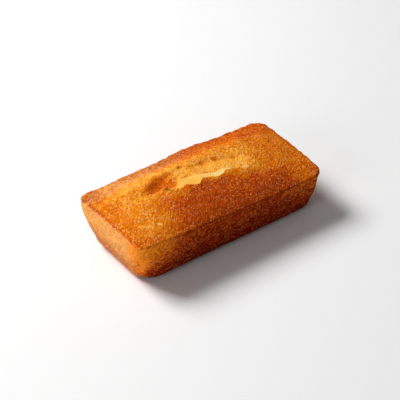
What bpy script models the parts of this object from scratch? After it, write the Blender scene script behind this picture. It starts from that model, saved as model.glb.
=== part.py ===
"""Financier: a small almond cake baked in a bar mould, domed and cracked along its top.

A standalone Blender 4.5 script: blender --background --python part.py
The cake is one closed solid in metres, +Z up. The origin is the middle of the flat
underside, +X runs along the cake and -Y is the side towards which the crust slopes most.
Sizes below are in millimetres, and MM turns them into metres where points are placed.
"""

import bmesh
import bpy
import numpy as np

MM = 0.001

# The mould's bar shape
LENGTH = 84.6
WIDTH = 40.0
RIM_CORNERS = (3.8, 5.2)
FOOT_CORNERS = (8.4, 5.6)
FOOT_ROUNDING = 4.6
END_TAPER = 2.3
SIDE_TAPER = 1.9
WALL_BOW = 2.2
END_SKEW = 0.6

# The rim: its height over the underside, and how unevenly the batter has risen
RIM_HEIGHT = 18.5
RIM_TILT = -0.8
RIM_LEAN = 0.2
RIM_TWIST = 0.7
END_CROWN = 0.8
FAR_CROWN = 0.5
FAR_BULGE = 1.2
FAR_BULGE_X = 6.7
FAR_BULGE_REACH = 11.0
RIM_ROUNDING = 0.8
LIP_OVERHANG = 0.1
LIP_SPILL = 0.35

# The dome
DOME = 4.6
LEFT_POWER = 2.5
NEAR_POWER = 1.8
RIGHT_POWER = 3.0
FAR_SHOULDER = 12.0
NEAR_ROLL = 0.6
NEAR_ROLL_WIDTH = 4.5

# The crack. At each station along X: where the crest runs (Y), how wide the bared crumb in
# front of it is, how far it stands up, how deep the hollow is right behind it, how far behind
# the crest the hollow ends in a ledge, and how deep the hollow is there.
CRACK = (
    (-29.3, 2.0, 0.1, 0.0, 0.0, 3.0, 0.0),
    (-24.4, 0.6, 0.2, 0.1, 1.0, 3.6, 0.2),
    (-21.0, 0.0, 0.2, 0.2, 2.3, 4.8, 0.4),
    (-18.0, -0.9, 0.3, 0.3, 2.7, 6.1, 0.5),
    (-15.5, -1.9, 0.9, 0.5, 2.2, 7.1, 0.6),
    (-13.0, -2.0, 1.6, 0.4, 1.6, 7.7, 0.6),
    (-9.5, 1.0, 4.0, 0.4, 0.9, 6.2, 0.5),
    (-5.5, 1.3, 6.2, 0.5, 0.6, 5.4, 0.5),
    (-4.2, 0.9, 4.9, 0.5, 0.5, 5.3, 0.5),
    (-3.0, 0.4, 3.5, 0.5, 0.4, 5.5, 0.5),
    (-1.2, -0.5, 3.2, 0.4, 0.3, 6.2, 0.5),
    (3.5, -2.2, 3.0, 0.4, 0.2, 6.8, 0.5),
    (8.0, -2.6, 1.2, 0.3, 0.2, 6.6, 0.5),
    (12.8, -5.2, 0.2, 0.3, 0.1, 7.1, 0.4),
    (14.8, -4.2, 2.4, 0.3, 0.1, 6.0, 0.3),
    (17.0, -5.3, 0.3, 0.2, 0.0, 6.2, 0.2),
    (24.0, -5.6, 0.1, 0.0, 0.0, 6.0, 0.0),
)
CREST_Y, CRUMB_WIDTH, CREST, DEPTH, LEDGE, LEDGE_DEPTH = 1, 2, 3, 4, 5, 6
CREST_RUN_UP = 5.0
CRUMB_FALL = 0.2
DROP_WIDTH = 1.6
LEDGE_STEP_WIDTH = 2.4

# Pits along the crack, and knobs with a depth below zero. Of each: x, how far behind the
# crest it lies, radius, depth.
PITS = (
    (-16.4, 7.0, 1.5, 0.6),
    (-5.8, 6.0, 0.8, 0.5),
    (2.5, 6.2, 1.0, 0.25),
    (8.3, 6.0, 0.9, 0.35),
    (15.0, 5.0, 0.9, 0.2),
    (-17.7, 0.5, 1.2, -1.5),
    (-12.6, 5.2, 0.9, -0.4),
    (-3.0, 3.8, 1.8, -0.35),
)

# Lumps in the crust: (distance between lumps, height), and their share left on the side
LUMPS = ((7.0, 0.22), (3.2, 0.12))
LUMP_SEED = 11
WALL_DENTS = 0.6

# Where the top's grid lines lie: (number of cells, where they end), from the low end
COLUMNS_FROM = -41.5
COLUMNS = ((3, -38.5), (5, -29.8), (46, 24.5), (9, 38.0), (3, 41.5))
ROWS_FROM = -19.2
ROWS = ((2, -16.6), (6, -6.5), (24, 11.0), (3, 16.6), (2, 19.2))

# Rings of the side, from the dome's border down: steps round the rim, down the wall and
# round the foot
RIM_STEPS = 2
WALL_STEPS = 5
FOOT_STEPS = 4
UNDERSIDE_RING = 0.55

CRUST_COLOUR = (0.58, 0.19, 0.025, 1.0)
CRUST_ROUGHNESS = 0.55


def smooth(t):
    """Rise from 0 to 1 along t squared times (3 - 2t), level at both ends."""
    t = np.clip(t, 0.0, 1.0)
    return t * t * (3.0 - 2.0 * t)


def along_crack(x, column):
    """One column of CRACK at x: cubic pieces whose slopes are the means of the chords."""
    stations = np.array([row[0] for row in CRACK])
    values = np.array([row[column] for row in CRACK])
    chords = np.diff(values) / np.diff(stations)
    slopes = np.concatenate((chords[:1], (chords[1:] + chords[:-1]) / 2.0, chords[-1:]))
    x = np.clip(x, stations[0], stations[-1])
    left = np.clip(np.searchsorted(stations, x) - 1, 0, len(stations) - 2)
    width = stations[left + 1] - stations[left]
    t = (x - stations[left]) / width
    rise = t * t * (3.0 - 2.0 * t)
    bend_left = t * (1.0 - t) ** 2 * width * slopes[left]
    bend_right = t * t * (t - 1.0) * width * slopes[left + 1]
    return values[left] * (1.0 - rise) + values[left + 1] * rise + bend_left + bend_right


def lumps(x, y):
    """Soft unevenness: random heights on square lattices, blended smoothly between."""
    total = np.zeros_like(x)
    for layer, (spacing, height) in enumerate(LUMPS):
        random = np.random.default_rng(LUMP_SEED + layer)
        size = int(2 * LENGTH / spacing)
        lattice = random.uniform(-1.0, 1.0, (size, size))
        column = x / spacing + size / 2
        row = y / spacing + size / 2
        i = np.floor(column).astype(int)
        j = np.floor(row).astype(int)
        s = smooth(column - i)
        t = smooth(row - j)
        near = lattice[i, j] * (1 - s) + lattice[i + 1, j] * s
        far = lattice[i, j + 1] * (1 - s) + lattice[i + 1, j + 1] * s
        total += height * (near * (1 - t) + far * t)
    return total


def round_corners(x, y, half_x, half_y, radius):
    """Points of a sharp rectangle, with those in each corner square drawn on to a disc."""
    p = np.clip((np.abs(x) - half_x + radius) / radius, 0.0, 1.0)
    q = np.clip((np.abs(y) - half_y + radius) / radius, 0.0, 1.0)
    new_x = x + np.sign(x) * radius * p * (np.sqrt(1.0 - q * q / 2.0) - 1.0)
    new_y = y + np.sign(y) * radius * q * (np.sqrt(1.0 - p * p / 2.0) - 1.0)
    return new_x, new_y


def skew_end(x, y):
    """The right end stands askew: its near corner is set back by END_SKEW."""
    return x - END_SKEW * smooth(2.0 * x / LENGTH) * (0.5 - y / WIDTH)


def rim_height(x, y):
    """Height of the rim's crest: tilted and twisted a little, crowned along each side."""
    u = x / (LENGTH / 2)
    v = np.clip(y / (WIDTH / 2), -1.0, 1.0)
    bulge = np.exp(-((x - FAR_BULGE_X) / FAR_BULGE_REACH) ** 2) * smooth((v - 0.2) / 0.8)
    height = RIM_HEIGHT + RIM_TILT * u + RIM_LEAN * v + RIM_TWIST * u * v
    height = height + END_CROWN * (1 - v * v) * u * u
    from_near = np.clip(1.0 - (1.0 + v) * WIDTH / 2 / NEAR_ROLL_WIDTH, 0.0, 1.0)
    height = height - NEAR_ROLL * (1 - u * u) * from_near ** 2
    return height + FAR_CROWN * (1 - u * u) * (1 + v) / 2 + FAR_BULGE * bulge


def dome(x, y):
    """Rise of the dome: power curves to the ends and the near rim, a shelf at the far rim."""
    half_x = LENGTH / 2 - RIM_ROUNDING
    half_y = WIDTH / 2 - RIM_ROUNDING
    to_left = 1.0 - np.clip(-x / half_x, 0.0, 1.0) ** LEFT_POWER
    to_near = 1.0 - np.clip(-y / half_y, 0.0, 1.0) ** NEAR_POWER
    to_right = 1.0 - np.clip(x / half_x, 0.0, 1.0) ** RIGHT_POWER
    to_far = smooth((half_y - y) / FAR_SHOULDER)
    return DOME * to_left * to_near * to_right * to_far


def follow_crack(x, across):
    """Y of a line that runs a distance 'across' behind the crest, straight at the rims."""
    half_y = WIDTH / 2 - RIM_ROUNDING
    return across + (1.0 - (across / half_y) ** 2) ** 2 * along_crack(x, CREST_Y)


def crack(x, across):
    """Height of the crack: bared crumb up to a crest, a steep drop, a hollow, a ledge."""
    ledge = along_crack(x, LEDGE)
    width = along_crack(x, CRUMB_WIDTH)
    on_crumb = np.clip(across + width, 0.0, width)
    crest = along_crack(x, CREST) * smooth((across + width) / CREST_RUN_UP + 1.0)
    crest = crest - CRUMB_FALL * on_crumb
    depth = along_crack(x, DEPTH)
    depth = depth + (along_crack(x, LEDGE_DEPTH) - depth) * np.clip(across / ledge, 0.0, 1.0)
    hollow = depth * (1.0 - smooth((across - ledge) / LEDGE_STEP_WIDTH + 0.5))
    fallen = smooth(across / DROP_WIDTH)
    return crest * (1.0 - fallen) - hollow * fallen


def pits(x, across):
    """Depth of the pits, less the height of the knobs: a round bell for each of PITS."""
    total = np.zeros_like(x)
    for pit_x, pit_across, radius, depth in PITS:
        spread = ((x - pit_x) / (1.3 * radius)) ** 2 + ((across - pit_across) / radius) ** 2
        total += depth * np.exp(-spread)
    return total


def grid_lines(start, spans):
    """Places of grid lines: each span is cut into its number of equal cells."""
    places = [np.array([start])]
    for count, end in spans:
        places.append(np.linspace(places[-1][-1], end, count + 1)[1:])
    return np.concatenate(places)


def at_end(x, left_and_right):
    """The first of two values at the left end and the second at the right end."""
    return np.where(x < 0.0, *left_and_right)


def read_points(verts):
    """The vertices' positions as columns x, y, z."""
    return np.array([vert.co for vert in verts]).T


def place(verts, x, y, z):
    """Put the vertices at x, y, z, given in millimetres."""
    for vert, *point in zip(verts, x, y, z):
        vert.co = [float(value) * MM for value in point]


def add_top(bm):
    """The domed, cracked top: a grid whose rows follow the crack. Returns its border.

    The border's vertices come with their places on the sharp rectangle of the grid."""
    column_places = grid_lines(COLUMNS_FROM, COLUMNS)
    row_places = grid_lines(ROWS_FROM, ROWS)
    grid = bmesh.ops.create_grid(
        bm, x_segments=len(column_places) - 1, y_segments=len(row_places) - 1, size=1.0)
    verts = grid["verts"]
    s, t, _ = read_points(verts)
    x = np.interp(s, np.linspace(-1.0, 1.0, len(column_places)), column_places)
    across = np.interp(t, np.linspace(-1.0, 1.0, len(row_places)), row_places)
    on_border = [vert.is_boundary for vert in verts]
    border = [vert for vert, keep in zip(verts, on_border) if keep]
    half_x = LENGTH / 2 - RIM_ROUNDING
    half_y = WIDTH / 2 - RIM_ROUNDING
    top_x, top_y = round_corners(
        x, follow_crack(x, across), half_x, half_y, at_end(x, RIM_CORNERS) - RIM_ROUNDING)
    top_x = skew_end(top_x, top_y)
    inside = smooth(5.0 * (1.0 - np.maximum(np.abs(x) / half_x, np.abs(across) / half_y)))
    z = rim_height(top_x, top_y) + dome(top_x, top_y) + crack(x, across)
    place(verts, top_x, top_y, z + inside * (lumps(top_x, top_y) - pits(x, across)))
    return border, x[on_border], across[on_border]


def side_ring(corner_x, corner_y, inset_x, inset_y, radius):
    """Points on a rounded rectangle set in from the rim, for each place on the border."""
    half_x = LENGTH / 2 - inset_x
    half_y = WIDTH / 2 - inset_y
    top_radius = at_end(corner_x, RIM_CORNERS) - RIM_ROUNDING
    places = []
    for corner, size, half in ((corner_x, LENGTH, half_x), (corner_y, WIDTH, half_y)):
        straight = size / 2 - RIM_ROUNDING - top_radius
        along = np.minimum(np.abs(corner), straight) / straight * (half - radius)
        round_part = np.maximum(np.abs(corner) - straight, 0.0) / top_radius * radius
        places.append(np.sign(corner) * (along + round_part))
    x, y = round_corners(*places, half_x, half_y, radius)
    return skew_end(x, y), y


def side_rings(corner_x, corner_y):
    """The side from the rim to the underside, ring by ring: rounded rim, wall, foot."""
    rim_corner = at_end(corner_x, RIM_CORNERS)
    foot_corner = at_end(corner_x, FOOT_CORNERS)
    rings = []
    for angle in np.linspace(0.0, np.pi / 2, RIM_STEPS + 1)[1:]:
        inset = RIM_ROUNDING * (1.0 - np.sin(angle))
        x, y = side_ring(corner_x, corner_y, inset, inset, rim_corner - inset)
        rings.append((x, y, rim_height(x, y) - RIM_ROUNDING * (1.0 - np.cos(angle))))
    u = corner_x / (LENGTH / 2)
    v = corner_y / (WIDTH / 2)
    overhang = LIP_OVERHANG + LIP_SPILL * ((1 + u) / 2) ** 2 * (1 - v) / 2
    for t in np.linspace(0.0, 1.0, WALL_STEPS + 1)[1:]:
        dents = WALL_DENTS * lumps(corner_x + RIM_HEIGHT * t, corner_y - RIM_HEIGHT * t)
        tuck = overhang * smooth(t * 8.0) + dents * smooth(t * 6.0)
        inset_x = tuck + (END_TAPER - overhang) * t ** WALL_BOW
        inset_y = tuck + (SIDE_TAPER - overhang) * t ** WALL_BOW
        radius = rim_corner + (foot_corner - rim_corner) * t * t
        x, y = side_ring(corner_x, corner_y, inset_x, inset_y, radius)
        wall_top = rim_height(x, y) - RIM_ROUNDING
        rings.append((x, y, wall_top + (FOOT_ROUNDING - wall_top) * t))
    for angle in np.linspace(0.0, np.pi / 2, FOOT_STEPS + 1)[1:]:
        inset = FOOT_ROUNDING * (1.0 - np.cos(angle))
        radius = foot_corner - 0.6 * inset
        inset = inset + dents * np.cos(angle)
        x, y = side_ring(corner_x, corner_y, END_TAPER + inset, SIDE_TAPER + inset, radius)
        rings.append((x, y, np.full_like(x, FOOT_ROUNDING * (1.0 - np.sin(angle)))))
    return rings


def add_side(bm, border, corner_x, corner_y):
    """Extrude the top's border down ring by ring, and close the underside flat."""
    edges = [edge for edge in bm.edges if edge.is_boundary]
    rings = side_rings(corner_x, corner_y)
    foot_x, foot_y, foot_z = rings[-1]
    rings.append((foot_x * UNDERSIDE_RING, foot_y * UNDERSIDE_RING, foot_z))
    for x, y, z in rings:
        place_of = {vert: i for i, vert in enumerate(border)}
        steps = bmesh.ops.extrude_edge_only(bm, edges=edges)["geom"]
        new_edges = [item for item in steps if isinstance(item, bmesh.types.BMEdge)]
        new_verts = {item for item in steps if isinstance(item, bmesh.types.BMVert)}
        edges = [edge for edge in new_edges if set(edge.verts) <= new_verts]
        next_border = [None] * len(border)
        for vert in new_verts:
            above = next(edge.other_vert(vert) for edge in vert.link_edges
                         if edge.other_vert(vert) not in new_verts
                         and edge.other_vert(vert) in place_of)
            next_border[place_of[above]] = vert
        border = next_border
        place(border, x, y, z)
    bmesh.ops.triangle_fill(bm, use_beauty=True, edges=edges)


def crust_material():
    """Golden-brown baked crust."""
    material = bpy.data.materials.new("golden_crust")
    material.use_nodes = True
    shader = material.node_tree.nodes["Principled BSDF"]
    shader.inputs["Base Color"].default_value = CRUST_COLOUR
    shader.inputs["Roughness"].default_value = CRUST_ROUGHNESS
    shader.inputs["Metallic"].default_value = 0.0
    material.diffuse_color = CRUST_COLOUR
    return material


def build_cake(collection):
    """The whole cake as one closed solid."""
    bm = bmesh.new()
    border, corner_x, corner_y = add_top(bm)
    add_side(bm, border, corner_x, corner_y)
    bmesh.ops.recalc_face_normals(bm, faces=bm.faces)
    mesh = bpy.data.meshes.new("financier")
    bm.to_mesh(mesh)
    bm.free()
    mesh.shade_smooth()
    mesh.materials.append(crust_material())
    cake = bpy.data.objects.new("financier", mesh)
    collection.objects.link(cake)
    return cake


def main():
    for old in list(bpy.data.objects):
        bpy.data.objects.remove(old, do_unlink=True)
    collection = bpy.data.collections.new("financier_cake")
    bpy.context.scene.collection.children.link(collection)
    build_cake(collection)


main()
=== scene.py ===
import math
from itertools import product

import bpy
import numpy as np
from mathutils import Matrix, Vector


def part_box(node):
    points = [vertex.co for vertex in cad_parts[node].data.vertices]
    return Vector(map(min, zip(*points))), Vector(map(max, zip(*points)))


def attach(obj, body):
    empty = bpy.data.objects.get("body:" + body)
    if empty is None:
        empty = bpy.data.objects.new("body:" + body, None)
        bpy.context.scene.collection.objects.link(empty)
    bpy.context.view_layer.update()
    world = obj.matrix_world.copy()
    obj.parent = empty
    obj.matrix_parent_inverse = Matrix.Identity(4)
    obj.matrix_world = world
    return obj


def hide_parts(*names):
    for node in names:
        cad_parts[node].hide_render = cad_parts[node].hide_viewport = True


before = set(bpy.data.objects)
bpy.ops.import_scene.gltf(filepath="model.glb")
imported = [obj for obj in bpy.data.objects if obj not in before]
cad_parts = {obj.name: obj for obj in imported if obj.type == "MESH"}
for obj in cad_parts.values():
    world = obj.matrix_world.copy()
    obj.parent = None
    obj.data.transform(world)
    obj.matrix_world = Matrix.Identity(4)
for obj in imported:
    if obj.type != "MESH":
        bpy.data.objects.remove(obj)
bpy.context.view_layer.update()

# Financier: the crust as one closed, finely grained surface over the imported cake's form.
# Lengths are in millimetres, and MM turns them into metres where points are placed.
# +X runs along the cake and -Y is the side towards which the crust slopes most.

MM = 0.001

# The bar shape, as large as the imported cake
low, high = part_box("financier")
LENGTH = 84.6
WIDTH = (high[1] - low[1]) / MM
RIM_CORNERS = (3.8, 5.2)
FOOT_CORNERS = (8.4, 5.6)
FOOT_ROUNDING = 4.6
END_TAPER = 2.3
SIDE_TAPER = 1.9
WALL_BOW = 2.2
END_SKEW = 0.6

# The rim: its height over the underside, and how unevenly the batter has risen
RIM_HEIGHT = 18.5
RIM_TILT = -0.8
RIM_LEAN = 0.2
RIM_TWIST = 0.7
END_CROWN = 0.8
FAR_CROWN = 0.5
FAR_BULGE = 1.2
FAR_BULGE_X = 6.7
FAR_BULGE_REACH = 11.0
RIM_ROUNDING = 0.8
LIP_OVERHANG = 0.1
LIP_SPILL = 0.35

# The dome
DOME = 4.6
LEFT_POWER = 2.5
NEAR_POWER = 1.8
RIGHT_POWER = 3.0
FAR_SHOULDER = 12.0
NEAR_ROLL = 0.6
NEAR_ROLL_WIDTH = 4.5

# The crack. At each station along X: where the crest runs (Y), how wide the bared crumb in
# front of it is, how far it stands up, how deep the hollow is right behind it, how far behind
# the crest the hollow ends in a ledge, and how deep the hollow is there.
CRACK = (
    (-29.3, 2.0, 0.1, 0.0, 0.0, 3.0, 0.0),
    (-24.4, 0.6, 0.2, 0.1, 1.0, 3.6, 0.2),
    (-21.0, 0.0, 0.2, 0.2, 2.3, 4.8, 0.4),
    (-18.0, -0.9, 0.3, 0.3, 2.7, 6.1, 0.5),
    (-15.5, -1.9, 0.9, 0.5, 2.2, 7.1, 0.6),
    (-13.0, -2.0, 1.6, 0.4, 1.6, 7.7, 0.6),
    (-9.5, 1.0, 4.0, 0.4, 0.9, 6.2, 0.5),
    (-5.5, 1.3, 6.2, 0.5, 0.6, 5.4, 0.5),
    (-4.2, 0.9, 4.9, 0.5, 0.5, 5.3, 0.5),
    (-3.0, 0.4, 3.5, 0.5, 0.4, 5.5, 0.5),
    (-1.2, -0.5, 3.2, 0.4, 0.3, 6.2, 0.5),
    (3.5, -2.2, 3.0, 0.4, 0.2, 6.8, 0.5),
    (8.0, -2.6, 1.2, 0.3, 0.2, 6.6, 0.5),
    (12.8, -5.2, 0.2, 0.3, 0.1, 7.1, 0.4),
    (14.8, -4.2, 2.4, 0.3, 0.1, 6.0, 0.3),
    (17.0, -5.3, 0.3, 0.2, 0.0, 6.2, 0.2),
    (24.0, -5.6, 0.1, 0.0, 0.0, 6.0, 0.0),
)
CREST_Y, CRUMB_WIDTH, CREST, DEPTH, LEDGE, LEDGE_DEPTH = 1, 2, 3, 4, 5, 6
CREST_RUN_UP = 5.0
CRUMB_FALL = 0.2
DROP_WIDTH = 1.6
LEDGE_STEP_WIDTH = 2.4

# Pits along the crack, and knobs with a depth below zero. Of each: x, how far behind the
# crest it lies, radius, depth.
PITS = (
    (-16.4, 7.0, 1.5, 0.6),
    (-5.8, 6.0, 0.8, 0.5),
    (2.5, 6.2, 1.0, 0.25),
    (8.3, 6.0, 0.9, 0.35),
    (15.0, 5.0, 0.9, 0.2),
    (-17.7, 0.5, 1.2, -1.5),
    (-12.6, 5.2, 0.9, -0.4),
    (-3.0, 3.8, 1.8, -0.35),
)

# Lumps in the crust: (distance between lumps, height), and their share left on the side
LUMPS = ((7.0, 0.22), (3.2, 0.12))
LUMP_SEED = 11
WALL_DENTS = 0.6

# The crust's torn edge: how deep, how soft and how ragged it is. The bared crumb shows from
# one width, and in full where it is wider by another. It fades along X from one place, over a
# reach and by a share, and ends over a short distance behind the crest.
CRUST_THICKNESS = 0.1
TEAR_SOFTNESS = 0.3
TEAR_RAGGEDNESS = 0.45
TEAR_STARTS_WIDE = 0.25
TEAR_FULL_WIDTH = 0.6
TEAR_FADES_AT = 9.0
TEAR_FADE_REACH = 3.0
TEAR_FADE = 0.55
CREST_EDGE = 0.5

# The hollow's own looks: where they start and end along X and over what reach, and how far
# behind the ledge they fade out
HOLLOW_FROM = -27.0
HOLLOW_TO = 22.0
HOLLOW_STARTS_OVER = 6.0
HOLLOW_ENDS_OVER = 8.0
LEDGE_FADE = 3.0

# The hole in the deep end of the hollow: its middle, and its reach to the left and
# right and across. Then how much painted shade, a redder brown, it has, how much the pits,
# knobs and the ledge have, and how far on both sides of the ledge that reaches.
HOLE_X = -19.0
HOLE_ACROSS = 2.8
HOLE_REACH_X = (3.0, 5.2)
HOLE_REACH_Y = 3.4
HOLE_SHADE = 0.65
PIT_SHADE = 3.0
KNOB_SHADE = 0.36
LEDGE_SHADE = 0.3
LEDGE_REACH = 1.2

# The grain: (spacing, seed) and height of its two sizes of grains, the share that the sides
# have of them, and the share that the hollow takes away
COARSE_GRAINS = (1.1, 51)
COARSE_GRAIN_HEIGHT = 0.24
FINE_GRAINS = (0.62, 52)
FINE_GRAIN_HEIGHT = 0.14
SIDE_GRAIN = 0.6
HOLLOW_SMOOTHING = 0.65

# Noise repeats after this many spacings. Layers of soft noise: (height, spacing, seed).
LATTICE = 64
TEAR_NOISE = ((0.9, 2.4, 31), (0.8, 0.9, 32))
TOP_NOISE = ((0.07, 1.9, 53),)
CRUMB_NOISE = ((0.06, 0.8, 54), (0.03, 0.45, 55))
SIDE_NOISE = ((0.06, 1.3, 56),)
FRAY_NOISE = ((1.0, 1.5, 57),)

# Crumbs that stand out along the rim: how far, how far in from the rim they reach, and the
# share of them on the left end and the near side
RIM_FRAY = 0.45
RIM_FRAY_REACH = 1.6
RIM_FRAY_SHARE = 0.15

# The flat underside has no grain, which grows to full over this height
GRAIN_FROM_FOOT = 0.8

# How brown the crust is, 0 to 1: baked browning, and painted shade and light in places. On the
# top: its gold ground and what each stretch adds to it, the slope in front of the crack browner
# also as painted shade, and of the hollow at its left end, painted shade, and along the rest,
# paler as painted light.
TOP_GROUND = 0.25
SLOPE_BROWN_AND_SHADE = 0.63
RIGHT_END_BROWN = 0.20
NEAR_RIM_BROWN = 0.14
FAR_RIM_BROWN = 0.44
LEFT_RIM_BROWN = 0.38
RIGHT_RIM_BROWN = 0.22
FAR_RIDGE_BROWN = -0.13
HOLLOW_SHADE_AND_LIGHT = (0.14, -0.24)

# On the long sides and on the ends: the ground, and what the foot adds to it; the long sides'
# darker ground is baked browning and painted shade. Then how much the gold of a long side's
# upper left end, painted light, and of its upper right end takes away, and what the right end
# has over the left one.
SIDE_GROUND_AND_SHADE, SIDE_FOOT_BROWN = 0.78, 0.24
END_GROUND, END_FOOT_BROWN = 0.11, 0.60
UPPER_LEFT_PAINTED_LIGHT, UPPER_RIGHT_GOLD = 0.46, 0.20
RIGHT_END_EXTRA = 0.26

# Where the top's grid lines lie: (number of cells, where they end), from the low end
COLUMNS_FROM = RIM_ROUNDING - LENGTH / 2
COLUMNS = ((12, -37.8), (34, -29.5), (236, 23.5), (58, 37.8), (12, -COLUMNS_FROM))
ROWS_FROM = RIM_ROUNDING - WIDTH / 2
ROWS = ((12, -15.8), (46, -5.0), (70, 9.0), (28, 15.8), (12, -ROWS_FROM))

# Rings of the side: steps round the rim, down the wall, round the foot and in underneath
RIM_STEPS = 4
WALL_STEPS = 40
FOOT_STEPS = 10
UNDERSIDE_RINGS = (0.86, 0.7, 0.54, 0.38, 0.24, 0.12)

# Camera, light and floor, in metres, degrees and millimetres of lens
CAMERA_AZIMUTH = -36.68
CAMERA_ELEVATION = 37.09
CAMERA_DISTANCE = 0.5
CAMERA_LENS = 121.5
CAMERA_AIM = (-0.00069, 0.00118, 0.00995)

# Each softbox: the direction that it stands in and its power in watts
KEY_LIGHT = ((-0.5, 0.866, 1.036), 9.5)
SIDE_LIGHT = ((-1.0, -0.25, 0.364), 1.75)
SOFTBOX_DISTANCE = 0.9
SOFTBOX_SIZE = 0.4
SOFTBOX_AIM_HEIGHT = 0.01
SKY_STRENGTH = 0.15
FLOOR_SIZE = 6.0


# ---- form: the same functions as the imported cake's ----

def smooth(t):
    """Rise from 0 to 1 along t squared times (3 - 2t), level at both ends."""
    t = np.clip(t, 0.0, 1.0)
    return t * t * (3.0 - 2.0 * t)


def along_crack(x, column):
    """One column of CRACK at x: cubic pieces whose slopes are the means of the chords."""
    stations = np.array([row[0] for row in CRACK])
    values = np.array([row[column] for row in CRACK])
    chords = np.diff(values) / np.diff(stations)
    slopes = np.concatenate((chords[:1], (chords[1:] + chords[:-1]) / 2.0, chords[-1:]))
    x = np.clip(x, stations[0], stations[-1])
    left = np.clip(np.searchsorted(stations, x) - 1, 0, len(stations) - 2)
    width = stations[left + 1] - stations[left]
    t = (x - stations[left]) / width
    rise = t * t * (3.0 - 2.0 * t)
    bend_left = t * (1.0 - t) ** 2 * width * slopes[left]
    bend_right = t * t * (t - 1.0) * width * slopes[left + 1]
    return values[left] * (1.0 - rise) + values[left + 1] * rise + bend_left + bend_right


def lumps(x, y):
    """Soft unevenness: random heights on square lattices, blended smoothly between."""
    total = np.zeros_like(x)
    for layer, (spacing, height) in enumerate(LUMPS):
        random = np.random.default_rng(LUMP_SEED + layer)
        size = int(2 * LENGTH / spacing)
        lattice = random.uniform(-1.0, 1.0, (size, size))
        column = x / spacing + size / 2
        row = y / spacing + size / 2
        i = np.floor(column).astype(int)
        j = np.floor(row).astype(int)
        s = smooth(column - i)
        t = smooth(row - j)
        near = lattice[i, j] * (1 - s) + lattice[i + 1, j] * s
        far = lattice[i, j + 1] * (1 - s) + lattice[i + 1, j + 1] * s
        total += height * (near * (1 - t) + far * t)
    return total


def round_corners(x, y, half_x, half_y, radius):
    """Points of a sharp rectangle, with those in each corner square drawn on to a disc."""
    p = np.clip((np.abs(x) - half_x + radius) / radius, 0.0, 1.0)
    q = np.clip((np.abs(y) - half_y + radius) / radius, 0.0, 1.0)
    new_x = x + np.sign(x) * radius * p * (np.sqrt(1.0 - q * q / 2.0) - 1.0)
    new_y = y + np.sign(y) * radius * q * (np.sqrt(1.0 - p * p / 2.0) - 1.0)
    return new_x, new_y


def skew_end(x, y):
    """The right end stands askew: its near corner is set back by END_SKEW."""
    return x - END_SKEW * smooth(2.0 * x / LENGTH) * (0.5 - y / WIDTH)


def rim_height(x, y):
    """Height of the rim's crest: tilted and twisted a little, crowned along each side."""
    u = x / (LENGTH / 2)
    v = np.clip(y / (WIDTH / 2), -1.0, 1.0)
    bulge = np.exp(-((x - FAR_BULGE_X) / FAR_BULGE_REACH) ** 2) * smooth((v - 0.2) / 0.8)
    height = RIM_HEIGHT + RIM_TILT * u + RIM_LEAN * v + RIM_TWIST * u * v
    height = height + END_CROWN * (1 - v * v) * u * u
    from_near = np.clip(1.0 - (1.0 + v) * WIDTH / 2 / NEAR_ROLL_WIDTH, 0.0, 1.0)
    height = height - NEAR_ROLL * (1 - u * u) * from_near ** 2
    return height + FAR_CROWN * (1 - u * u) * (1 + v) / 2 + FAR_BULGE * bulge


def dome(x, y):
    """Rise of the dome: power curves to the ends and the near rim, a shelf at the far rim."""
    half_x = LENGTH / 2 - RIM_ROUNDING
    half_y = WIDTH / 2 - RIM_ROUNDING
    to_left = 1.0 - np.clip(-x / half_x, 0.0, 1.0) ** LEFT_POWER
    to_near = 1.0 - np.clip(-y / half_y, 0.0, 1.0) ** NEAR_POWER
    to_right = 1.0 - np.clip(x / half_x, 0.0, 1.0) ** RIGHT_POWER
    to_far = smooth((half_y - y) / FAR_SHOULDER)
    return DOME * to_left * to_near * to_right * to_far


def follow_crack(x, across):
    """Y of a line that runs a distance 'across' behind the crest, straight at the rims."""
    half_y = WIDTH / 2 - RIM_ROUNDING
    return across + (1.0 - (across / half_y) ** 2) ** 2 * along_crack(x, CREST_Y)


def crack(x, across):
    """Height of the crack: bared crumb up to a crest, a steep drop, a hollow, a ledge."""
    ledge = along_crack(x, LEDGE)
    width = along_crack(x, CRUMB_WIDTH)
    on_crumb = np.clip(across + width, 0.0, width)
    crest = along_crack(x, CREST) * smooth((across + width) / CREST_RUN_UP + 1.0)
    crest = crest - CRUMB_FALL * on_crumb
    depth = along_crack(x, DEPTH)
    depth = depth + (along_crack(x, LEDGE_DEPTH) - depth) * np.clip(across / ledge, 0.0, 1.0)
    hollow = depth * (1.0 - smooth((across - ledge) / LEDGE_STEP_WIDTH + 0.5))
    fallen = smooth(across / DROP_WIDTH)
    return crest * (1.0 - fallen) - hollow * fallen


def pits(x, across):
    """Depth of the pits, less the height of the knobs: a round bell for each of PITS."""
    total = np.zeros_like(x)
    for pit_x, pit_across, radius, depth in PITS:
        spread = ((x - pit_x) / (1.3 * radius)) ** 2 + ((across - pit_across) / radius) ** 2
        total += depth * np.exp(-spread)
    return total


def grid_lines(start, spans):
    """Places of grid lines: each span is cut into its number of equal cells."""
    places = [np.array([start])]
    for count, end in spans:
        places.append(np.linspace(places[-1][-1], end, count + 1)[1:])
    return np.concatenate(places)


def at_end(x, left_and_right):
    """The first of two values at the left end and the second at the right end."""
    return np.where(x < 0.0, *left_and_right)


def side_ring(corner_x, corner_y, inset_x, inset_y, radius):
    """Points on a rounded rectangle set in from the rim, for each place on the border."""
    half_x = LENGTH / 2 - inset_x
    half_y = WIDTH / 2 - inset_y
    top_radius = at_end(corner_x, RIM_CORNERS) - RIM_ROUNDING
    places = []
    for corner, size, half in ((corner_x, LENGTH, half_x), (corner_y, WIDTH, half_y)):
        straight = size / 2 - RIM_ROUNDING - top_radius
        along = np.minimum(np.abs(corner), straight) / straight * (half - radius)
        round_part = np.maximum(np.abs(corner) - straight, 0.0) / top_radius * radius
        places.append(np.sign(corner) * (along + round_part))
    x, y = round_corners(*places, half_x, half_y, radius)
    return skew_end(x, y), y


# ---- steps and noise, as whole arrays ----

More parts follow.
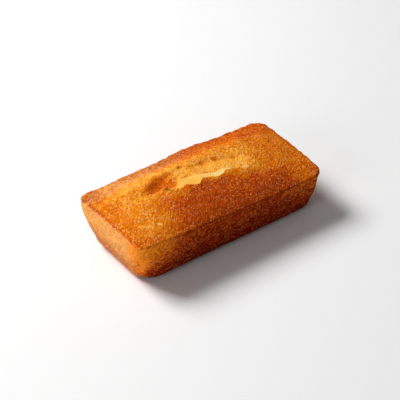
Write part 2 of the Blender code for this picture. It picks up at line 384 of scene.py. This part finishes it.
def past(value, start, reach):
    """How far a value is past a start: 0 to 1 over the reach, which may run downwards."""
    return smooth((value - start) / reach)


def mix(first, second, share):
    """From the first value to the second as the share goes from 0 to 1."""
    return first + (second - first) * share


def soft_noise(points, spacing, seed):
    """Value noise: random numbers on a cubic lattice, blended smoothly, about -1 to 1."""
    lattice = np.random.default_rng(seed).uniform(-1.0, 1.0, (LATTICE, LATTICE, LATTICE))
    place = points / spacing + 10 * LATTICE
    cell = np.floor(place).astype(int)
    blend = smooth(place - cell)
    total = np.zeros(len(points))
    for corner in product((0, 1), repeat=3):
        weight = np.prod(np.where(corner, blend, 1.0 - blend), axis=1)
        i, j, k = ((cell + corner) % LATTICE).T
        total += weight * lattice[i, j, k]
    return total


def layered_noise(points, layers):
    """Sum of layers of soft noise, each times its height."""
    total = np.zeros(len(points))
    for height, spacing, seed in layers:
        total += height * soft_noise(points, spacing, seed)
    return total


def grains(points, spacing, seed):
    """Cells round scattered points, one to a lattice cube: (distance to it, its own number)."""
    random = np.random.default_rng(seed)
    scatter = random.random((LATTICE, LATTICE, LATTICE, 3))
    number = random.random((LATTICE, LATTICE, LATTICE))
    place = points / spacing + 10 * LATTICE
    cell = np.floor(place).astype(int)
    nearest = np.full(len(points), np.inf)
    own = np.zeros(len(points))
    for step in product((-1, 0, 1), repeat=3):
        i, j, k = ((cell + step) % LATTICE).T
        apart = np.sum((cell + step + scatter[i, j, k] - place) ** 2, axis=1)
        closer = apart < nearest
        nearest = np.where(closer, apart, nearest)
        own = np.where(closer, number[i, j, k], own)
    return np.sqrt(nearest), own


# ---- the crust's surface ----

def ragged_tear(x, y, across):
    """How far a place lies on the bared crumb, 0 to 1: between the ragged tear and the crest.

    The tear runs in front of the crest by the crumb's width, give or take noise."""
    flat = np.stack((x.ravel(), y.ravel(), np.zeros(x.size)), axis=1)
    rag = TEAR_RAGGEDNESS * layered_noise(flat, TEAR_NOISE).reshape(x.shape)
    width = along_crack(x, CRUMB_WIDTH)
    share = np.clip((width - TEAR_STARTS_WIDE) / TEAR_FULL_WIDTH, 0.0, 1.0)
    share = share * (1.0 - TEAR_FADE * past(x, TEAR_FADES_AT, TEAR_FADE_REACH))
    behind_tear = past(across, -width - rag, TEAR_SOFTNESS)
    return share * behind_tear * (1.0 - past(across, 0.0, CREST_EDGE))


def torn_step(x, across, bared):
    """Depth of the crumb under the crust's torn edge, none at the crest."""
    width = along_crack(x, CRUMB_WIDTH)
    return CRUST_THICKNESS * bared * (1.0 - smooth(across / np.maximum(width, 0.5) + 1.0))


def sunken_looks(x, across, pitted):
    """How far a place lies in the hollow, and how much painted shade it has, both 0 to 1.

    The hollow runs from the drop behind the crest to a little behind the ledge. Shade is
    painted in a bell round its deep end, in the pits, on the knobs and along the ledge."""
    behind_ledge = across - along_crack(x, LEDGE)
    sunk = past(across, 0.0, DROP_WIDTH) * (1.0 - past(behind_ledge, 0.0, LEDGE_FADE))
    hollow = sunk * past(x, HOLLOW_FROM, HOLLOW_STARTS_OVER)
    hollow = hollow * past(x, HOLLOW_TO, -HOLLOW_ENDS_OVER)
    reach_x = np.where(x < HOLE_X, *HOLE_REACH_X)
    from_hole = ((x - HOLE_X) / reach_x) ** 2 + ((across - HOLE_ACROSS) / HOLE_REACH_Y) ** 2
    crack_shade = HOLE_SHADE * sunk * np.exp(-from_hole)
    crack_shade = crack_shade + np.maximum(PIT_SHADE * pitted, -KNOB_SHADE * pitted)
    crack_shade = crack_shade + LEDGE_SHADE * hollow * np.exp(-(behind_ledge / LEDGE_REACH) ** 2)
    return hollow, np.clip(crack_shade, 0.0, 1.0)


def top_surface():
    """Top: height over a grid whose rows follow the crack. Arrays of rows by columns."""
    x, across = np.meshgrid(grid_lines(COLUMNS_FROM, COLUMNS), grid_lines(ROWS_FROM, ROWS))
    half_x, half_y = -COLUMNS_FROM, -ROWS_FROM
    top_x, top_y = round_corners(
        x, follow_crack(x, across), half_x, half_y, at_end(x, RIM_CORNERS) - RIM_ROUNDING)
    top_x = skew_end(top_x, top_y)
    inside = smooth(5.0 * (1.0 - np.maximum(np.abs(x) / half_x, np.abs(across) / half_y)))
    bared = ragged_tear(top_x, top_y, across)
    z = rim_height(top_x, top_y) + dome(top_x, top_y) + crack(x, across)
    pitted = pits(x, across)
    z = z + inside * (lumps(top_x, top_y) - torn_step(x, across, bared) - pitted)
    looks = np.stack((bared, *sunken_looks(x, across, pitted)), axis=-1)
    return x, across, np.stack((top_x, top_y, z), axis=-1), looks


def side_rings(corner_x, corner_y):
    """Side, ring by ring: rim rounding and lip at every border point, then at every other.

    A rim ring goes round a quarter circle, a wall ring straight down with the taper, and a
    foot ring round a quarter circle in to the flat underside."""
    fine = []
    for angle in np.linspace(0.0, np.pi / 2, RIM_STEPS + 1)[1:]:
        inset = RIM_ROUNDING * (1.0 - np.sin(angle))
        x, y = side_ring(
            corner_x, corner_y, inset, inset, at_end(corner_x, RIM_CORNERS) - inset)
        fine.append(np.stack((x, y, rim_height(x, y) - RIM_ROUNDING * (1 - np.cos(angle))), 1))
    corner_x, corner_y = corner_x[::2], corner_y[::2]
    rim_corner = at_end(corner_x, RIM_CORNERS)
    foot_corner = at_end(corner_x, FOOT_CORNERS)
    u = corner_x / (LENGTH / 2)
    v = corner_y / (WIDTH / 2)
    overhang = LIP_OVERHANG + LIP_SPILL * ((1 + u) / 2) ** 2 * (1 - v) / 2
    coarse = []
    for t in np.linspace(0.0, 1.0, WALL_STEPS + 1):
        dents = WALL_DENTS * lumps(corner_x + RIM_HEIGHT * t, corner_y - RIM_HEIGHT * t)
        tuck = overhang * smooth(t * 8.0) + dents * smooth(t * 6.0)
        inset_x = tuck + (END_TAPER - overhang) * t ** WALL_BOW
        inset_y = tuck + (SIDE_TAPER - overhang) * t ** WALL_BOW
        radius = rim_corner + (foot_corner - rim_corner) * t * t
        x, y = side_ring(corner_x, corner_y, inset_x, inset_y, radius)
        wall_top = rim_height(x, y) - RIM_ROUNDING
        z = wall_top + (FOOT_ROUNDING - wall_top) * t
        coarse.append(np.stack((x, y, z), 1))
    for angle in np.linspace(0.0, np.pi / 2, FOOT_STEPS + 1)[1:]:
        inset = FOOT_ROUNDING * (1.0 - np.cos(angle))
        radius = foot_corner - 0.6 * inset
        inset = inset + dents * np.cos(angle)
        x, y = side_ring(corner_x, corner_y, END_TAPER + inset, SIDE_TAPER + inset, radius)
        z = np.full_like(x, FOOT_ROUNDING * (1.0 - np.sin(angle)))
        coarse.append(np.stack((x, y, z), 1))
    return fine, coarse[1:]


def strip(upper, lower):
    """Triangles between two closed rings of indices; lower has as many points, or half."""
    next_upper = np.roll(upper, -1)
    next_lower = np.roll(lower, -1)
    if len(upper) == len(lower):
        return np.concatenate((
            np.stack((upper, lower, next_lower), 1),
            np.stack((upper, next_lower, next_upper), 1)))
    even, odd, after = upper[::2], upper[1::2], next_upper[1::2]
    return np.concatenate((
        np.stack((even, lower, odd), 1),
        np.stack((odd, lower, next_lower), 1),
        np.stack((odd, next_lower, after), 1)))


def vertex_normals(points, triangles):
    """Each point's normal: the sum of its triangles' area vectors, made one long."""
    a, b, c = (points[triangles[:, k]] for k in range(3))
    area = np.cross(b - a, c - a)
    total = np.zeros_like(points)
    for k in range(3):
        for axis in range(3):
            total[:, axis] += np.bincount(
                triangles[:, k], weights=area[:, axis], minlength=len(points))
    return total / np.linalg.norm(total, axis=1, keepdims=True)


def cake_surface():
    """The closed base surface: points, triangles, and what the looks need at each point."""
    x, across, top, looks = top_surface()
    rows, columns = x.shape
    index = np.arange(rows * columns).reshape(rows, columns)
    corners = [index[:-1, :-1], index[:-1, 1:], index[1:, 1:], index[1:, :-1]]
    a, b, c, d = (corner.ravel() for corner in corners)
    triangles = [np.stack((a, b, c), 1), np.stack((a, c, d), 1)]
    border = np.concatenate((index[0, :-1], index[:-1, -1], index[-1, :0:-1], index[:0:-1, 0]))
    fine, coarse = side_rings(x.ravel()[border], across.ravel()[border])
    foot = coarse[-1]
    underside = [foot[::2] * (share, share, 1.0) for share in UNDERSIDE_RINGS]
    points = [top.reshape(-1, 3)]
    count = len(points[0])
    upper = border
    for ring in fine + coarse + underside:
        lower = np.arange(count, count + len(ring))
        triangles.append(strip(upper, lower))
        points.append(ring)
        count += len(ring)
        upper = lower
    points.append(np.zeros((1, 3)))
    middle = np.full(len(upper), count)
    triangles.append(np.stack((upper, middle, np.roll(upper, -1)), 1))
    points = np.concatenate(points)
    triangles = np.concatenate(triangles)
    extra = len(points) - rows * columns
    looks = np.concatenate((looks.reshape(-1, 3), np.zeros((extra, 3))))
    fading = np.repeat(np.linspace(1.0, 0.0, RIM_STEPS + 1)[1:], len(border))
    on_top = np.concatenate((np.ones(rows * columns), fading, np.zeros(extra - len(fading))))
    return points, triangles, *looks.T, on_top


def top_browning(x, y, hollow):
    """Browning of the top: gold, plus a band for each browner stretch, less a pale ridge.

    The slope in front of the crack, turned from the light, is brownest: browning and painted
    shade. The hollow is browner at its deep left end, painted shade, and paler along the rest,
    partly painted light."""
    in_front = along_crack(x, CREST_Y) - y
    slope = past(in_front, 0.5, 7.0) * past(x, -31.0, 17.0) * (1.0 - 0.52 * past(x, 22.0, 12.0))
    left_end = (0.14 + 0.10 * past(y, 0.0, 8.0)) * past(x, -33.0, -5.0)
    right_end = past(x, 18.0, 11.0) * past(in_front, 5.0, -5.0)
    near_rim = past(y, -10.5, -7.5) * (1.0 - 0.5 * past(x, -32.0, 14.0))
    far_rim = past(y + 0.04 * x, 8.4, 5.5) * past(x, -38.0, 44.0)
    far_rim = far_rim * (1.0 - 0.35 * past(x, 20.0, 12.0))
    left_rim = past(x, 1.68 - LENGTH / 2, -1.4)
    right_rim = past(x, LENGTH / 2 - 2.88, 2.4)
    far_ridge = np.exp(-((y - 8.5) / 3.0) ** 2) * past(x, 5.0, -20.0)
    brown = TOP_GROUND + SLOPE_BROWN_AND_SHADE * slope + left_end + RIGHT_END_BROWN * right_end
    brown = brown + NEAR_RIM_BROWN * near_rim + FAR_RIM_BROWN * far_rim
    brown = brown + LEFT_RIM_BROWN * left_rim + RIGHT_RIM_BROWN * right_rim
    brown = brown + FAR_RIDGE_BROWN * far_ridge
    return brown + hollow * mix(*HOLLOW_SHADE_AND_LIGHT, past(x, -14.0, 5.0))


def side_browning(x, y, z):
    """Browning of the sides: the long sides' own, blended into the ends' at the corners.

    Both grow towards the foot. The long sides' darker ground is partly painted shade. They turn
    gold towards their upper ends, on the left as painted light."""
    down = past(z, 17.0, -17.0)
    down_side = down * past(x, -40.0, 4.5)
    # The gold of the upper left ends is painted light, where the light from the left reaches
    # round the corner
    paler_upper_ends = UPPER_LEFT_PAINTED_LIGHT * past(x, -16.0, -24.0) + UPPER_RIGHT_GOLD * past(x, 16.0, 20.0)
    long_side = SIDE_GROUND_AND_SHADE + SIDE_FOOT_BROWN * down_side - paler_upper_ends * (1.0 - down_side)
    near_corner = past(y, -9.0, -8.0)
    end = END_GROUND + END_FOOT_BROWN * down ** 1.5 * (1.0 - 0.45 * near_corner)
    end = end + 0.14 * near_corner + RIGHT_END_EXTRA * past(x, 0.0, 10.0)
    return mix(long_side, end, past(np.abs(x), LENGTH / 2 - 4.4, 3.4))


def browning(points, on_top, hollow):
    """How brown the crust is, from 0 for gold to 1, painted shade and light included: the top's
    and the sides' blended.
    """
    x, y, z = points.T
    return mix(side_browning(x, y, z), top_browning(x, y, hollow), on_top)


def paleness_and_sheen(points, on_top):
    """How pale and greyish the crust is, partly a painted sheen: most on the left end, some
    along the far left rim.
    """
    x, y, z = points.T
    left_end = past(x, 5.0 - LENGTH / 2, -4.0) * (1.0 - 0.9 * past(y, -9.0, -8.0))
    left_end = left_end * (0.66 + 0.34 * past(z, 12.0, -12.0))
    far_left = past(y, 9.5, 5.5) * past(x, 14.0, -24.0)
    return mix(left_end, 0.45 * far_left, on_top)


def sugar_and_glints(brown, crack_shade, on_top):
    """How much pale sugar shows, its flecks also painted glints: less where browner, on the
    sides and where shade is painted along the crack.
    """
    return (1.05 - 0.6 * brown) * (0.6 + 0.4 * on_top) * (1.0 - crack_shade)


def rim_fray(points):
    """How far crumbs stand out along the rim, most on the far side and the right end."""
    x, y, z = points.T
    to_rim = np.minimum(LENGTH / 2 - np.abs(x), WIDTH / 2 - np.abs(y))
    at_rim = past(to_rim, RIM_FRAY_REACH, -RIM_FRAY_REACH) * past(z, RIM_HEIGHT - 2.1, 1.5)
    share = mix(RIM_FRAY_SHARE, 1.0, np.maximum(past(y, 0.0, 12.0), past(x, 28.0, 8.0)))
    crumbs = np.maximum(layered_noise(points, FRAY_NOISE) - 0.12, -0.5)
    return RIM_FRAY * at_rim * share * crumbs


def grained(points, triangles, bared, hollow, on_top):
    """The surface with its grain: each point moved along its normal by grains and noise.

    A grain stands up the more, the nearer its middle is and the higher its own number. Bared
    crumb has finer noise in place of grains. Also returns how far each point moved, less the
    mean and over the standard deviation."""
    normals = vertex_normals(points, triangles)
    coarse_gap, coarse_own = grains(points, *COARSE_GRAINS)
    fine_gap, _ = grains(points, *FINE_GRAINS)
    pebbles = COARSE_GRAIN_HEIGHT * (0.6 - coarse_gap) * (0.4 + coarse_own)
    pebbles = pebbles + FINE_GRAIN_HEIGHT * (0.5 - fine_gap)
    side = SIDE_GRAIN * pebbles + layered_noise(points, SIDE_NOISE)
    crumb = layered_noise(points, CRUMB_NOISE)
    top = (pebbles + layered_noise(points, TOP_NOISE)) * (1.0 - HOLLOW_SMOOTHING * hollow)
    top = mix(top, crumb, bared) + crumb * hollow
    height = mix(side, top, on_top) + rim_fray(points)
    height = height * past(points[:, 2], 0.0, GRAIN_FROM_FOOT)
    return points + normals * height[:, None], (height - height.mean()) / height.std()


def cake_mesh():
    """The crust piece's mesh in metres, with its looks kept as point attributes."""
    points, triangles, bared, hollow, crack_shade, on_top = cake_surface()
    brown = browning(points, on_top, hollow)
    pale_sheen = paleness_and_sheen(points, on_top)
    sugar_glints = sugar_and_glints(brown, crack_shade, on_top)
    points, grain = grained(points, triangles, bared, hollow, on_top)
    mesh = bpy.data.meshes.new("crust")
    mesh.vertices.add(len(points))
    mesh.vertices.foreach_set("co", (points * MM).astype(np.float32).ravel())
    mesh.loops.add(triangles.size)
    mesh.loops.foreach_set("vertex_index", triangles.astype(np.int32).ravel())
    mesh.polygons.add(len(triangles))
    mesh.polygons.foreach_set("loop_start", np.arange(0, triangles.size, 3, dtype=np.int32))
    mesh.update(calc_edges=True)
    mesh.validate()
    mesh.shade_smooth()
    for name, values in (("browning", brown), ("pale_sheen", pale_sheen), ("sugar_glints", sugar_glints),
                         ("bared", bared), ("crack_shade", crack_shade), ("on_top", on_top),
                         ("grain", grain)):
        layer = mesh.attributes.new(name, "FLOAT", "POINT")
        layer.data.foreach_set("value", values.astype(np.float32))
    return mesh


# ---- materials ----

# Colours by how brown the crust is: on the dome, on the moulded sides, and where it is pale,
# the pale partly a painted sheen
DOMED = (
    (0.0, (1.00, 0.425, 0.050)),
    (0.25, (0.77, 0.220, 0.008)),
    (0.5, (0.70, 0.152, 0.003)),
    (0.75, (0.58, 0.092, 0.004)),
    (1.0, (0.43, 0.052, 0.004)))
MOULDED = (
    (0.0, (1.00, 0.320, 0.015)),
    (0.3, (0.98, 0.255, 0.009)),
    (0.5, (0.70, 0.140, 0.010)),
    (0.75, (0.36, 0.040, 0.004)),
    (1.0, (0.150, 0.004, 0.001)))
PALED_SHEEN = (
    (0.05, (0.84, 0.440, 0.140)),
    (0.25, (0.67, 0.300, 0.110)),
    (0.45, (0.50, 0.205, 0.090)),
    (0.75, (0.36, 0.120, 0.050)))
# The flecks' colour: pale sugar that also stands as painted glints
SUGAR_GLINT = (1.0, 0.56, 0.28, 1.0)

# Colours of the bared crumb by its mottle, and where it is palest
CRUMB = (
    (0.3, (0.95, 0.39, 0.035)),
    (0.7, (0.98, 0.55, 0.13)))
PALE_CRUMB = (1.0, 0.64, 0.21, 1.0)

# Layers of noise, as waves per metre, detail and roughness, and layers of cells per metre
PATCHES = (190.0, 3.0, 0.55)
MOTTLE = (900.0, 4.0, 0.65)
FINE_RELIEF = (3200.0, 2.0, 0.6)
SPECK_CELLS = 1500.0
SUGAR_GLINT_CELLS = 1450.0

# How much each layer changes how brown the crust is, on the sides and on the top
PATCH_SHARES = (0.26, 0.22)
MOTTLE_SHARES = (0.30, 0.40)
SPECK_SHARES = (0.36, 0.20)
# The grain's shares brown the gaps and pale the tips: painted shade and painted highlights
GRAIN_SHADE_SHARES = (-0.03, -0.11)
# How much the painted shade along the crack browns the crust
SHADE_SHARE = 0.36


def add_node(tree, kind, inputs=(), **settings):
    """A shader node with its settings, and its inputs set or linked by name or number."""
    node = tree.nodes.new(kind)
    for key, value in settings.items():
        setattr(node, key, value)
    for key, value in dict(inputs).items():
        if isinstance(value, bpy.types.NodeSocket):
            tree.links.new(value, node.inputs[key])
        else:
            node.inputs[key].default_value = value
    return node


def attribute(tree, name):
    """The value of one of the mesh's point attributes."""
    return add_node(tree, "ShaderNodeAttribute", attribute_name=name).outputs["Fac"]


def maths(tree, operation, *values, clamp=False):
    """The result of a maths node."""
    node = add_node(tree, "ShaderNodeMath", dict(enumerate(values)), operation=operation)
    node.use_clamp = clamp
    return node.outputs[0]


def colour_ramp(tree, factor, stops):
    """A colour that runs through the (place, colour) stops as the factor rises."""
    node = add_node(tree, "ShaderNodeValToRGB", {"Fac": factor})
    ramp = node.color_ramp
    while len(ramp.elements) < len(stops):
        ramp.elements.new(0.5)
    for element, (place, colour) in zip(ramp.elements, stops):
        element.position = place
        element.color = (*colour, 1.0)
    return node.outputs["Color"]


def mix_colours(tree, factor, first, second):
    """Two colours mixed by a factor."""
    node = add_node(tree, "ShaderNodeMix", data_type="RGBA")
    for socket, value in zip((node.inputs[0], node.inputs[6], node.inputs[7]),
                             (factor, first, second)):
        if isinstance(value, bpy.types.NodeSocket):
            tree.links.new(value, socket)
        else:
            socket.default_value = value
    return node.outputs[2]


def noise(tree, place, scale, detail, roughness):
    """A layer of noise around a half, of a scale in waves per metre."""
    return add_node(tree, "ShaderNodeTexNoise", {
        "Vector": place, "Scale": scale, "Detail": detail,
        "Roughness": roughness}).outputs["Fac"]


def cells(tree, place, scale, channel):
    """Cells of a scale per metre: how far the nearest middle is, and that cell's own value."""
    node = add_node(tree, "ShaderNodeTexVoronoi", {"Vector": place, "Scale": scale})
    own = add_node(tree, "ShaderNodeSeparateColor", {"Color": node.outputs["Color"]})
    return node.outputs["Distance"], own.outputs[channel]


def share_of(tree, sides, top):
    """One number on the sides and another on the top."""
    return maths(tree, "MULTIPLY_ADD", attribute(tree, "on_top"), top - sides, sides)


def how_brown(tree, layers):
    """The browning, plus each layer's distance from a half and the grain, each times its share.
    The grain's share browns the gaps and pales the tips: painted shade and painted highlights.

    The painted shade along the crack adds its own share."""
    brown = attribute(tree, "browning")
    for layer, shares in layers:
        from_half = maths(tree, "SUBTRACT", layer, 0.5)
        brown = maths(tree, "MULTIPLY_ADD", from_half, share_of(tree, *shares), brown)
    grain = attribute(tree, "grain")
    brown = maths(tree, "MULTIPLY_ADD", grain, share_of(tree, *GRAIN_SHADE_SHARES), brown)
    return maths(tree, "MULTIPLY_ADD", attribute(tree, "crack_shade"), SHADE_SHARE, brown)


def crust_colour(tree, place, brown):
    """Colour of the crust by how brown it is, paled in places and flecked with sugar.
    The paling is partly a painted sheen, and the sugar flecks also stand as painted glints.

    A fleck is the middle of a cell, in the cells whose own value is high."""
    moulded = colour_ramp(tree, brown, MOULDED)
    domed = colour_ramp(tree, brown, DOMED)
    crust = mix_colours(tree, attribute(tree, "on_top"), moulded, domed)
    crust = mix_colours(tree, attribute(tree, "pale_sheen"), crust, colour_ramp(tree, brown, PALED_SHEEN))
    gap, own = cells(tree, place, SUGAR_GLINT_CELLS, 1)
    middle = maths(tree, "MULTIPLY_ADD", gap, -4.0, 1.7, clamp=True)
    chosen = maths(tree, "MULTIPLY_ADD", own, 3.0, -1.3, clamp=True)
    fleck = maths(tree, "MULTIPLY", middle, chosen)
    fleck = maths(tree, "MULTIPLY", fleck, attribute(tree, "sugar_glints"), clamp=True)
    return mix_colours(tree, fleck, crust, SUGAR_GLINT)


def crumb_colour(tree, place, mottle):
    """Colour of the bared crumb by its mottle, paler from the middle to the right."""
    along = add_node(tree, "ShaderNodeSeparateXYZ", {"Vector": place}).outputs["X"]
    paler = maths(tree, "MULTIPLY_ADD", along, 120.0, 0.6, clamp=True)
    return mix_colours(tree, paler, colour_ramp(tree, mottle, CRUMB), PALE_CRUMB)


def baked_crust():
    """Baked crust, gold to brown, mottled, speckled and finely pitted, with bared crumb."""
    material = bpy.data.materials.new("baked_crust")
    material.use_nodes = True
    tree = material.node_tree
    shader = tree.nodes["Principled BSDF"]
    place = add_node(tree, "ShaderNodeTexCoord").outputs["Object"]
    patches = noise(tree, place, *PATCHES)
    mottle = noise(tree, place, *MOTTLE)
    speck_gap, speck_own = cells(tree, place, SPECK_CELLS, 0)
    brown = how_brown(tree, (
        (patches, PATCH_SHARES), (mottle, MOTTLE_SHARES), (speck_own, SPECK_SHARES)))
    crust = crust_colour(tree, place, brown)
    crumb = crumb_colour(tree, place, mottle)
    colour = mix_colours(tree, attribute(tree, "bared"), crust, crumb)
    tree.links.new(colour, shader.inputs["Base Color"])
    shader.inputs["Roughness"].default_value = 0.6
    shader.inputs["Specular IOR Level"].default_value = 0.0
    shader.inputs["Subsurface Weight"].default_value = 0.3
    shader.inputs["Subsurface Radius"].default_value = (1.0, 0.3, 0.08)
    shader.inputs["Subsurface Scale"].default_value = 0.001
    relief = maths(tree, "MULTIPLY_ADD", speck_gap, -1.6, noise(tree, place, *FINE_RELIEF))
    bump = add_node(tree, "ShaderNodeBump", {
        "Height": relief, "Strength": 0.8, "Distance": 0.00016})
    tree.links.new(bump.outputs["Normal"], shader.inputs["Normal"])
    return material


def plain_floor():
    """Pale matt floor."""
    material = bpy.data.materials.new("pale_floor")
    material.use_nodes = True
    shader = material.node_tree.nodes["Principled BSDF"]
    shader.inputs["Base Color"].default_value = (0.92, 0.92, 0.92, 1.0)
    shader.inputs["Roughness"].default_value = 0.9
    shader.inputs["Specular IOR Level"].default_value = 0.1
    return material


# ---- pieces, floor, light and camera ----

def add_crust():
    """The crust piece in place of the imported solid."""
    mesh = cake_mesh()
    mesh.materials.append(baked_crust())
    crust = bpy.data.objects.new("crust", mesh)
    bpy.context.scene.collection.objects.link(crust)
    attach(crust, "root")
    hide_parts("financier")


def add_floor():
    """A wide pale floor at the cake's foot."""
    half = FLOOR_SIZE / 2
    mesh = bpy.data.meshes.new("floor")
    mesh.from_pydata([(-half, -half, 0), (half, -half, 0), (half, half, 0), (-half, half, 0)],
                     [], [(0, 1, 2, 3)])
    mesh.materials.append(plain_floor())
    floor = bpy.data.objects.new("floor", mesh)
    bpy.context.scene.collection.objects.link(floor)


def add_softbox(name, direction, power):
    """A square area light in a direction from the cake, facing it."""
    light = bpy.data.lights.new(name, "AREA")
    light.shape = "SQUARE"
    light.size = SOFTBOX_SIZE
    light.energy = power
    softbox = bpy.data.objects.new(name, light)
    out = Vector(direction).normalized()
    softbox.location = out * SOFTBOX_DISTANCE + Vector((0, 0, SOFTBOX_AIM_HEIGHT))
    softbox.rotation_euler = out.to_track_quat("Z", "Y").to_euler()
    bpy.context.scene.collection.objects.link(softbox)


def add_light():
    """A large key from behind on the left, a low one from the left, and a dim even sky."""
    add_softbox("key", *KEY_LIGHT)
    add_softbox("side", *SIDE_LIGHT)
    world = bpy.data.worlds.new("studio")
    world.use_nodes = True
    background = world.node_tree.nodes["Background"]
    background.inputs["Color"].default_value = (1.0, 1.0, 1.0, 1.0)
    background.inputs["Strength"].default_value = SKY_STRENGTH
    bpy.context.scene.world = world


def add_camera():
    """A long lens towards the cake, from the front left and above."""
    camera = bpy.data.cameras.new("camera")
    camera.lens = CAMERA_LENS
    camera.clip_start = 0.01
    azimuth = math.radians(CAMERA_AZIMUTH)
    elevation = math.radians(CAMERA_ELEVATION)
    back = Vector((
        math.sin(azimuth) * math.cos(elevation),
        -math.cos(azimuth) * math.cos(elevation),
        math.sin(elevation)))
    rig = bpy.data.objects.new("camera", camera)
    rig.location = Vector(CAMERA_AIM) + back * CAMERA_DISTANCE
    rig.rotation_euler = back.to_track_quat("Z", "Y").to_euler()
    bpy.context.scene.collection.objects.link(rig)
    bpy.context.scene.camera = rig


add_crust()
add_floor()
add_light()
add_camera()
bpy.context.scene.view_settings.view_transform = "Standard"
